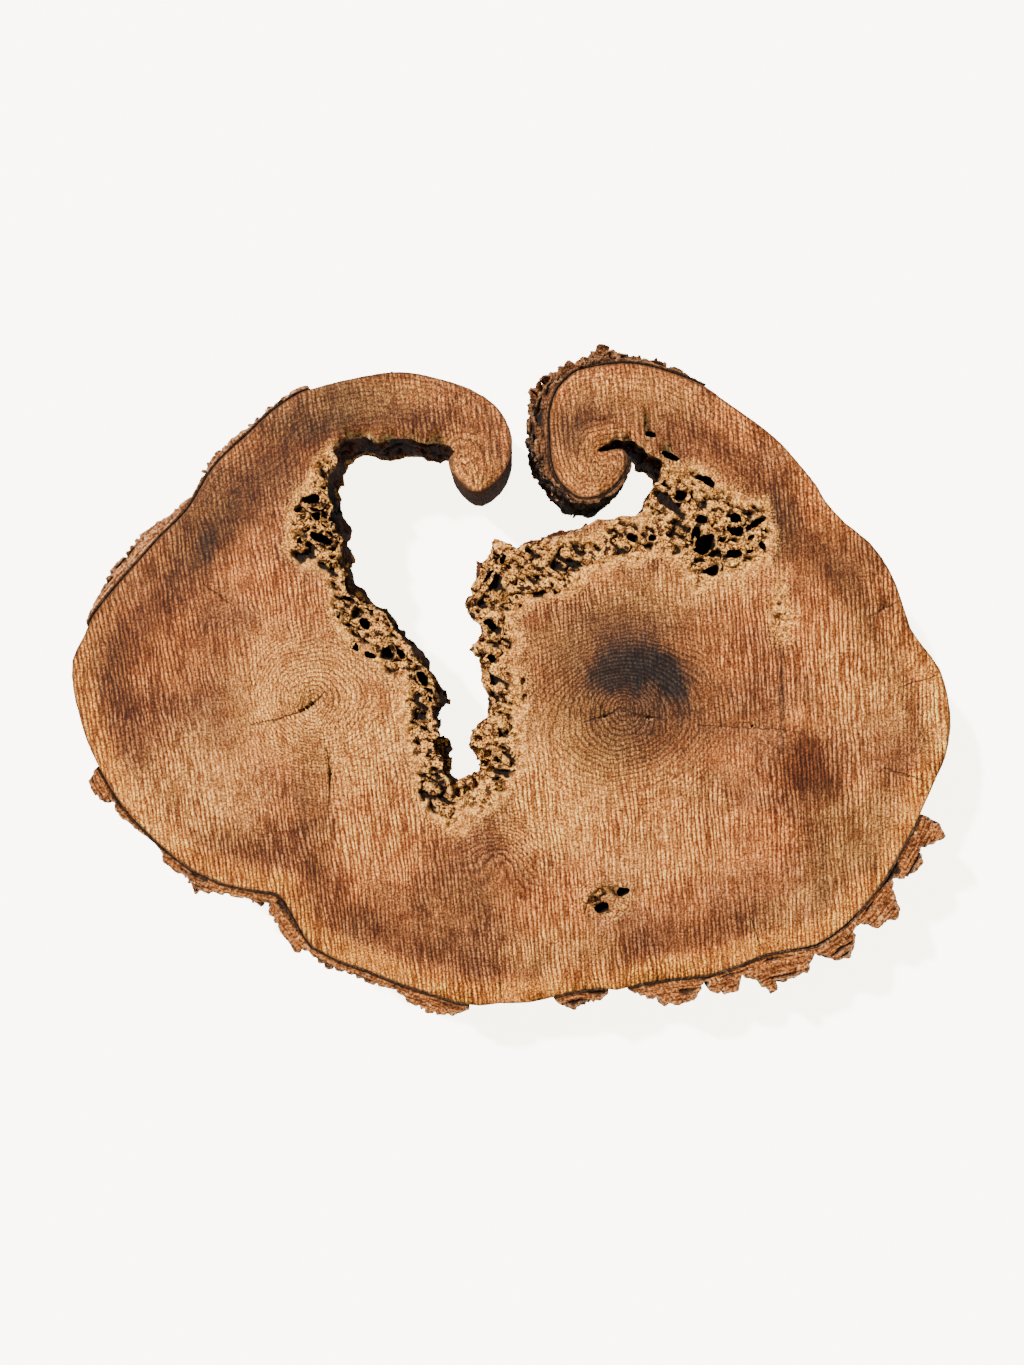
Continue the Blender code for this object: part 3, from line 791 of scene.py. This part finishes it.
def bark_material(name, sizes, effects, cut_colours, out_colours):
    """Bark: layered and speckled where it is sawn, dark and furrowed outside, with painted shade in
    deep cracks of the sawn faces.
    """
    material, wires, shader = new_material(name)
    place, face = surface(wires)
    bed, along, skin, hollow = wires.kept("bed", "along", "skin", "hollow")
    upward = wires.part(place, 2)

    laid = wires.add("ShaderNodeCombineXYZ", {
        0: wires.times(along, 26.0), 1: wires.times(bed, 420.0),
        2: wires.times(upward, 10.0)}).outputs[0]
    layers = wires.cloud(laid, 1.0, 4.0, 0.6, 0.4)
    mottle, specks = place_group(wires, effects["speckle"], Vector=place, Scale=300.0)
    coarse, blots = place_group(wires, effects["speckle"], Vector=place, Scale=110.0)
    streaks, cracks = place_group(wires, effects["fibres"], Vector=place, Scale=130.0)

    inner, middle, pale, rind = cut_colours
    cut = wires.blend(wires.spread(layers, 0.42, 0.56), inner, middle)
    cut = wires.blend(wires.spread(coarse, 0.52, 0.72, 0.0, 0.8), cut, pale)
    cut = wires.blend(wires.spread(skin, 0.004, 0.001, 0.0, 0.6), cut, rind)
    cut = wires.blend(wires.times(blots, 0.8), cut, paint(48, 34, 26))
    cut = wires.blend(wires.times(specks, 0.6), cut, paint(44, 30, 22))
    cut = wires.blend(wires.spread(bed, 0.0050, 0.0020, 0.0, 0.95), cut, paint(34, 22, 15))

    deep, outer, lichen = out_colours
    outside = wires.blend(wires.spread(streaks, 0.35, 0.65), deep, outer)
    outside = wires.blend(wires.spread(coarse, 0.55, 0.75, 0.0, 0.6), outside, lichen)
    outside = wires.blend(wires.times(cracks, 0.7), outside, paint(26, 20, 16))
    colour = wires.blend(face, outside, cut)
    colour = wires.blend(
        wires.spread(mottle, 0.58, 0.42, 0.0, 0.9), colour, paint(110, 78, 56), "MULTIPLY")
    # Painted shade: deep cracks in the sawn bark are painted dark.
    colour = wires.blend(hollow, colour, paint(26, 18, 14))
    wires.feed(shader.inputs["Base Color"], colour)
    wires.feed(shader.inputs["Roughness"], wires.spread(mottle, 0.3, 0.7, 0.78, 0.95))

    relief = wires.mix(face, streaks, layers)
    relief = wires.plus(wires.times(relief, 1.3), wires.times(mottle, 0.7))
    bumped(wires, shader, relief)
    return material


# Sizes and colours that a user would change.

def size_setting(name, description, default, low, high, precision=4):
    return bpy.props.FloatProperty(
        name=name, description=description, default=default, min=low, max=high, unit="LENGTH",
        precision=precision)


def colour_setting(name, description, shade):
    return bpy.props.FloatVectorProperty(
        name=name, description=description, default=paint(*shade), subtype="COLOR", size=4,
        min=0.0, max=1.0)


class WalnutSliceSizes(bpy.types.PropertyGroup):
    """Sizes, reliefs and colours of the slice and its stage."""

    wood_voxel: size_setting(
        "Wood detail", "Size of the squares that the wood is worked in", 0.0019, 0.001, 0.02)
    bark_voxel: size_setting(
        "Bark detail", "Size of the squares that the bark is worked in", 0.0015, 0.001, 0.02)
    pit_depth: size_setting(
        "Pit depth", "How deep the small pits in rotten wood go", 0.0095, 0.0, 0.03)
    saw_depth: size_setting(
        "Saw mark depth", "Height of the saw's ridges on both faces", 0.00022, 0.0, 0.002, 5)
    furrow_depth: size_setting(
        "Furrow depth", "Depth of the furrows on the outside of thick bark", 0.006, 0.0, 0.03)
    wood_dark: colour_setting("Dark wood", "Darker walnut heartwood", (142, 94, 62))
    wood_mid: colour_setting("Wood", "Usual walnut heartwood", (187, 128, 79))
    wood_light: colour_setting("Light wood", "Lighter years of the heartwood", (242, 160, 86))
    wood_red: colour_setting("Red wood", "Red-brown band inside the rim", (124, 78, 48))
    sapwood: colour_setting("Sapwood", "Pale band along the rim", (255, 176, 76))
    golden: colour_setting("Golden wood", "Golden places along the rim", (255, 196, 108))
    rot: colour_setting("Rotten wood", "Punky wood round the void", (228, 154, 74))
    stain: colour_setting("Stain", "Charcoal stain at the right middle", (50, 46, 45))
    bark_cut: colour_setting("Sawn bark", "Bark where it is sawn through", (172, 108, 56))
    bark_out: colour_setting("Outer bark", "Outside of the bark", (104, 88, 74))
    sun_strength: bpy.props.FloatProperty(
        name="Sun", description="Strength of the light from the upper left", default=10.5, min=0.0)
    sky_strength: bpy.props.FloatProperty(
        name="Sky", description="Strength of the soft light all round", default=0.6, min=0.0)


# Operators.

class WalnutSliceWood(bpy.types.Operator):
    """Builds the worn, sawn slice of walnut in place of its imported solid"""

    bl_idname = "walnut_slice.wood"
    bl_label = "Walnut wood"

    def execute(self, context):
        sizes = context.scene.walnut_slice
        piece = self.with_crumbs(merged_copy("wood", "walnut_wood"))
        remeshed(piece, sizes.wood_voxel)
        self.wear(piece, sizes)
        thinned(piece, WOOD_TRIANGLES)
        self.colour_fields(piece)
        smooth_below(piece, 55.0)
        piece.data.materials.append(bpy.data.materials["walnut_wood"])
        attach(piece, "root")
        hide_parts("wood")
        return {"FINISHED"}

    def with_crumbs(self, piece):
        """Sinks the lumps of punky wood into the walls of the slot."""
        made = []
        for index, (x, y, z, wide, high, deep) in enumerate(CRUMBS):
            middle = (*traced([(x, y)])[0], z * MM)
            bpy.ops.mesh.primitive_ico_sphere_add(subdivisions=3, radius=1.0, location=(0, 0, 0))
            lump = bpy.context.active_object
            points, _ = places(lump.data)
            swell = 1.0 + 0.28 * noise(points, 0.7, 70 + index, 2)
            points = points * swell[:, None] * np.array((wide, high, deep)) * MM + middle
            put(lump.data, points)
            made.append(lump)
        alone(piece)
        for lump in made:
            lump.select_set(True)
        bpy.ops.object.join()
        return piece

    def wear(self, piece, sizes):
        """Pits and crumbles the rotten zones, splits the sides and leaves the saw's marks."""
        points, outward = places(piece.data)
        rot, eaten = rot_share(points)
        for axis in (0, 1):
            level = points * (1, 1, 0.4)
            broad = 0.0048 * noise(level, 0.034, 91 + axis)
            points[:, axis] += eaten * (broad + 0.0026 * noise(level, 0.013, 93 + axis))
        flat = points[:, :2]
        face = rise(np.abs(outward[:, 2]), 0.55, 0.9)
        rim, _ = reach_to(flat, traced(GROWN))
        torn = rise(rim, 0.006, 0.016) * (1.0 - face)

        turned = np.stack([
            points[:, 0] * 0.87 - points[:, 1] * 0.5, points[:, 0] * 0.5 + points[:, 1] * 0.87,
            points[:, 2]], axis=1)
        cracks = rise(1.0 - np.abs(noise(turned, (0.027, 0.0105, 0.03), 21, 2)), 0.82, 0.93)
        blobs = rise(noise(turned, (0.015, 0.006, 0.02), 25, 2), 0.18, 0.5)
        small = rise(noise(points, 0.0048, 23), 0.1, 0.7)
        crumble = 0.5 + 0.5 * noise(points, 0.02, 24, 3)
        pits = np.maximum(cracks * (0.4 + 0.6 * crumble), blobs)
        depth = face * eaten * (sizes.pit_depth * pits + 0.0028 * crumble)
        depth += face * rot * 0.0016 * small

        level = points * (1, 1, 0.2)
        lean = SAW_LEAN - SAW_TURN * points[:, 0]
        across = points[:, 0] + points[:, 1] * lean + 0.004 * noise(level, 0.04, 31)
        saw = 0.5 + 0.5 * np.sin(across * math.tau / (2.0 * SAW_PITCH))
        depth += face * (sizes.saw_depth * saw + 0.0004 * (1.0 + noise(level, 0.05, 32)))

        streaks = 0.5 + 0.5 * noise(points, (0.007, 0.007, 0.07), 41, 3)
        chips = rise(noise(points, (0.012, 0.012, 0.02), 42, 2), 0.05, 0.6)
        depth += torn * (0.0045 * streaks + 0.005 * chips)
        depth += (1.0 - torn) * (1.0 - face) * 0.0007 * streaks
        worn = rise(0.014 - np.minimum(TOP - points[:, 2], points[:, 2]), 0.0, 0.010)
        depth += torn * worn * 0.006 * rise(noise(points, 0.014, 43, 2), -0.1, 0.5)
        sink(piece, points, outward, np.maximum(depth, 0.0))

    def colour_fields(self, piece):
        """Keeps what the material needs to know of each point."""
        points, _ = places(piece.data)
        flat = points[:, :2]
        rim, _ = reach_to(flat, traced(GROWN))
        outline = traced(GROWN + ROTTEN)
        edge, _ = reach_to(flat, outline, closed=True)
        edge = np.where(within(flat, outline), edge, -edge)
        # Painted shade: points sunk deep in pits below a sawn face, well inside the outline, are
        # marked to be painted near black, as shade would darken them.
        depth = np.minimum(TOP - points[:, 2], points[:, 2])
        hollow = rise(depth, 0.0046, 0.0092) * rise(edge, 0.003, 0.007)
        rot, eaten = rot_share(points)
        kinds = [stained(points, stains, 50 + i) for i, stains in enumerate(
            (DARK_STAINS, RED_STAINS, PALE_STAINS, GREY_STAINS))]
        kinds[0] = np.maximum(kinds[0], charcoal(points))
        store(
            piece.data, rim=rim, rings=growth(points, rim), clear=ring_clearness(points), rot=rot,
            eaten=eaten, hollow=hollow, stains=np.stack(kinds, axis=1))


class WalnutSliceBark(bpy.types.Operator):
    """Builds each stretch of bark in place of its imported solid"""

    bl_idname = "walnut_slice.bark"
    bl_label = "Bark"

    def execute(self, context):
        sizes = context.scene.walnut_slice
        for index, node in enumerate(BARKS):
            piece = merged_copy(node, f"{node}_furrowed")
            remeshed(piece, sizes.bark_voxel)
            self.rounded(piece)
            self.wear(piece, node, sizes, 100 + 10 * index)
            thinned(piece, BARK_TRIANGLES)
            self.colour_fields(piece)
            smooth_below(piece, 60.0)
            piece.data.materials.append(bpy.data.materials[BARK_KINDS.get(node, "bark_thick")])
            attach(piece, "root")
            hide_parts(node)
        return {"FINISHED"}

    def rounded(self, piece):
        """Rounds the corners of the plates outside, and leaves their height and their seat."""
        points, _ = places(piece.data)
        bed, _ = reach_to(points[:, :2], traced(GROWN))
        outer = piece.vertex_groups.new(name="outer")
        for share in (0.25, 0.5, 0.75, 1.0):
            outer.add(np.flatnonzero(bed > 0.003 + 0.008 * share).tolist(), share, "REPLACE")
        alone(piece)
        blunt = piece.modifiers.new("blunt", "SMOOTH")
        blunt.vertex_group = "outer"
        blunt.factor = 0.6
        blunt.iterations = 14
        blunt.use_z = False
        bpy.ops.object.modifier_apply(modifier="blunt")

    def wear(self, piece, node, sizes, seed):
        """Furrows the outside along the trunk and breaks up the sawn faces between layers."""
        points, outward = places(piece.data)
        face = rise(np.abs(outward[:, 2]), 0.55, 0.9)
        bed, along = reach_to(points[:, :2], traced(GROWN))
        outer = rise(bed, 0.002, 0.005) * (1.0 - face)
        reach = np.minimum(0.35 * bed, sizes.furrow_depth)
        furrow = 1.0 - np.abs(noise(points, (0.013, 0.013, 0.06), seed, 2))
        furrow = rise(furrow, 0.62, 1.0)
        flakes = 0.5 + 0.5 * noise(points, (0.006, 0.006, 0.02), seed + 1, 3)
        depth = outer * reach * (0.75 * furrow + 0.45 * flakes - 0.5)
        laid = np.stack([along, bed, points[:, 2]], axis=1)
        layers = noise(laid, (0.03, 0.0032, 0.05), seed + 2, 2)
        cracks = rise(noise(laid, (0.028, 0.004, 0.08), seed + 3), 0.42, 0.75)
        depth += face * rise(bed, 0.0015, 0.004) * (
            0.0011 * (0.5 + 0.5 * layers) + 0.004 * cracks)
        if BARK_KINDS.get(node) == "bark_dark":
            lumps = rise(noise(points, 0.0115, seed + 4, 2), 0.0, 0.5)
            depth += rise(bed, 0.002, 0.006) * lumps * np.minimum(0.4 * bed, 0.007)
        sink(piece, points, outward, depth)

    def colour_fields(self, piece):
        """Keeps how deep in the bark each point lies, both from the wood and from outside."""
        points, outward = places(piece.data)
        bed, along = reach_to(points[:, :2], traced(GROWN))
        side = np.flatnonzero((np.abs(outward[:, 2]) < 0.5) & (bed > 0.003))
        tree = KDTree(len(side))
        for index in side:
            tree.insert(points[index], int(index))
        tree.balance()
        skin = np.array([tree.find(point)[2] for point in points])
        # Painted shade: points sunk deep below a sawn face, away from the outside, are marked to be
        # painted dark, as shade in the cracks between layers.
        depth = np.minimum(TOP - points[:, 2], points[:, 2])
        hollow = rise(depth, 0.0018, 0.005) * rise(skin, 0.0, 0.003) * rise(
            np.abs(outward[:, 2]), 0.2, 0.5)
        store(piece.data, bed=bed, along=along, skin=skin, hollow=hollow)


class WalnutSliceFlakes(bpy.types.Operator):
    """Sets shaggy flakes of bark on the right curl, the left shoulder and the curls' tops"""

    bl_idname = "walnut_slice.flakes"
    bl_label = "Bark flakes"

    def execute(self, context):
        draw = np.random.default_rng(7)
        patterns = [self.pattern(index) for index in range(FLAKE_SHAPES)]
        flakes = []
        for carrier, line, count, lengths in FLAKE_RUNS:
            on = bpy.data.objects[carrier]
            line = traced(line)
            steps = np.hypot(*np.diff(line, axis=0).T)
            marks = np.concatenate([[0.0], np.cumsum(steps)])
            for _ in range(count):
                mark = draw.uniform(0.0, marks[-1])
                place = [np.interp(mark, marks, line[:, axis]) for axis in (0, 1)]
                height = TOP * draw.uniform(0.06, 0.97) ** 0.7
                found, spot, outward, _ = on.closest_point_on_mesh((*place, height))
                if not found:
                    raise RuntimeError(f"no place for a flake on {carrier}")
                pattern = patterns[draw.integers(FLAKE_SHAPES)]
                flakes.append(self.placed(pattern, spot, outward, draw.uniform(*lengths), draw))
        for shape in patterns:
            bpy.data.objects.remove(shape)
        alone(flakes[0])
        for flake in flakes:
            flake.select_set(True)
        bpy.ops.object.join()
        piece = context.active_object
        piece.name = "bark_flakes"
        piece.data.name = "bark_flakes"
        bpy.ops.object.transform_apply(location=True, rotation=True, scale=True)
        points, _ = places(piece.data)
        bed, along = reach_to(points[:, :2], traced(GROWN))
        store(
            piece.data, bed=bed, along=along, skin=np.full(len(points), 0.001),
            hollow=np.zeros(len(points)))
        smooth_below(piece, 50.0)
        piece.data.materials.append(bpy.data.materials["bark_flaky"])
        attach(piece, "root")
        return {"FINISHED"}

    def pattern(self, index):
        """One ragged, bent flake, 1 m long from the origin along X, to be scaled down."""
        bpy.ops.mesh.primitive_grid_add(x_subdivisions=7, y_subdivisions=4, size=1.0)
        flake = bpy.context.active_object
        points, _ = places(flake.data)
        length = points[:, 0] + 0.5
        ragged = 0.16 * noise(points + 3.1 * index, 0.22, 80 + index)
        points[:, 1] *= (1.0 - 0.55 * length ** 2.2) * 0.9
        points[:, 1] += 0.14 * length ** 2 * (-1) ** index + ragged * 0.5
        points[:, 2] = 0.22 * length ** 2 - 0.5 * points[:, 1] ** 2 + 0.4 * ragged
        points[:, 0] = length + 0.5 * ragged
        put(flake.data, points)
        alone(flake)
        thick = flake.modifiers.new("thick", "SOLIDIFY")
        thick.thickness = 0.16
        thick.offset = 0.0
        bpy.ops.object.modifier_apply(modifier="thick")
        return flake

    def placed(self, pattern, spot, outward, length, draw):
        """A copy of a flake that grows out of its carrier at this spot, leaning at random."""
        flake = bpy.data.objects.new("flake", pattern.data.copy())
        bpy.context.scene.collection.objects.link(flake)
        outward = Vector((outward.x, outward.y, 0.25 * outward.z)).normalized()
        tangent = Vector((0, 0, 1)).cross(outward)
        lean = outward + tangent * draw.uniform(-0.9, 0.9) + Vector((0, 0, draw.uniform(-0.7, 0.7)))
        turn = lean.to_track_quat("X", "Z").to_matrix().to_4x4()
        spin = Matrix.Rotation(draw.uniform(-1.6, 1.6), 4, "X")
        shape = Matrix.Diagonal((length, length * draw.uniform(0.6, 1.3), length, 1.0))
        flake.matrix_world = Matrix.Translation(
            spot - outward * (0.0012 + 0.12 * length)) @ turn @ spin @ shape
        return flake


class WalnutSliceMaterials(bpy.types.Operator):
    """Makes the slice's materials and the effects that they share"""

    bl_idname = "walnut_slice.materials"
    bl_label = "Materials"

    def execute(self, context):
        sizes = context.scene.walnut_slice
        effects = {
            "speckle": speckle_group(), "fibres": fibre_group(), "rings": ring_group(),
            "saw": saw_group(), "check": check_group()}
        wood_material(sizes, effects)
        thick = (paint(96, 54, 26), sizes.bark_cut, paint(222, 164, 106), paint(150, 120, 94))
        thin = (paint(128, 78, 46), paint(196, 136, 88), paint(236, 190, 140), paint(150, 120, 96))
        dark = (paint(64, 40, 25), paint(126, 84, 53), paint(178, 132, 90), paint(112, 84, 60))
        outside = (paint(44, 34, 27), sizes.bark_out, paint(150, 142, 128))
        bark_material("bark_thick", sizes, effects, thick, outside)
        bark_material("bark_thin", sizes, effects, thin, outside)
        bark_material("bark_dark", sizes, effects, dark, outside)
        flaky = (paint(84, 54, 36), paint(146, 98, 64), paint(226, 176, 118))
        bark_material("bark_flaky", sizes, effects, (*flaky, flaky[1]), flaky)
        return {"FINISHED"}


class WalnutSliceStage(bpy.types.Operator):
    """Sets the pale floor, the daylight and the camera straight above the slice"""

    bl_idname = "walnut_slice.stage"
    bl_label = "Stage"

    def execute(self, context):
        sizes = context.scene.walnut_slice
        bpy.ops.object.select_all(action="DESELECT")
        bpy.ops.mesh.primitive_plane_add(size=60.0, location=(0.0, 0.0, -0.0005))
        floor = context.active_object
        floor.name = "floor"
        pale, _, shader = new_material("pale_floor")
        shader.inputs["Base Color"].default_value = paint(248, 246, 242)
        shader.inputs["Roughness"].default_value = 0.9
        shader.inputs["Emission Color"].default_value = paint(255, 248, 226)
        shader.inputs["Emission Strength"].default_value = 6.4
        floor.data.materials.append(pale)
        floor.visible_diffuse = False
        floor.visible_glossy = False

        sky = bpy.data.worlds.new("soft_sky")
        sky.use_nodes = True
        background = sky.node_tree.nodes["Background"]
        background.inputs["Color"].default_value = (1.0, 0.985, 0.96, 1.0)
        background.inputs["Strength"].default_value = sizes.sky_strength
        context.scene.world = sky

        bpy.ops.object.light_add(type="SUN", location=(-2.0, 2.0, 3.0))
        sun = context.active_object
        sun.name = "sun"
        sun.data.energy = sizes.sun_strength
        sun.data.angle = math.radians(3.0)
        sun.data.color = (1.0, 0.965, 0.92)
        sun.rotation_euler = Vector((0.52, -0.46, -0.72)).to_track_quat("-Z", "Y").to_euler()

        bpy.ops.object.camera_add(location=(0.00098, 0.0021, TOP + 1.5), rotation=(0.0, 0.0, 0.0))
        camera = context.active_object
        camera.name = "camera"
        camera.data.sensor_width = 36.0
        camera.data.lens = 31.115
        camera.data.dof.use_dof = False
        context.scene.camera = camera
        return {"FINISHED"}


class WalnutSlicePanel(bpy.types.Panel):
    """Lists the slice's operators and sizes"""

    bl_idname = "VIEW3D_PT_walnut_slice"
    bl_label = "Walnut slice"
    bl_space_type = "VIEW_3D"
    bl_region_type = "UI"
    bl_category = "Walnut slice"

    def draw(self, context):
        for operator in OPERATORS:
            self.layout.operator(operator.bl_idname)
        for name in WalnutSliceSizes.__annotations__:
            self.layout.prop(context.scene.walnut_slice, name)


OPERATORS = (
    WalnutSliceMaterials, WalnutSliceWood, WalnutSliceBark, WalnutSliceFlakes, WalnutSliceStage)


def register():
    for kind in (WalnutSliceSizes, *OPERATORS, WalnutSlicePanel):
        bpy.utils.register_class(kind)
    bpy.types.Scene.walnut_slice = bpy.props.PointerProperty(type=WalnutSliceSizes)


def unregister():
    del bpy.types.Scene.walnut_slice
    for kind in (WalnutSlicePanel, *reversed(OPERATORS), WalnutSliceSizes):
        bpy.utils.unregister_class(kind)


def main():
    register()
    bpy.ops.object.select_all(action="DESELECT")
    bpy.ops.walnut_slice.materials()
    bpy.ops.walnut_slice.wood()
    bpy.ops.walnut_slice.bark()
    bpy.ops.walnut_slice.flakes()
    bpy.ops.walnut_slice.stage()


if __name__ == "__main__":
    main()
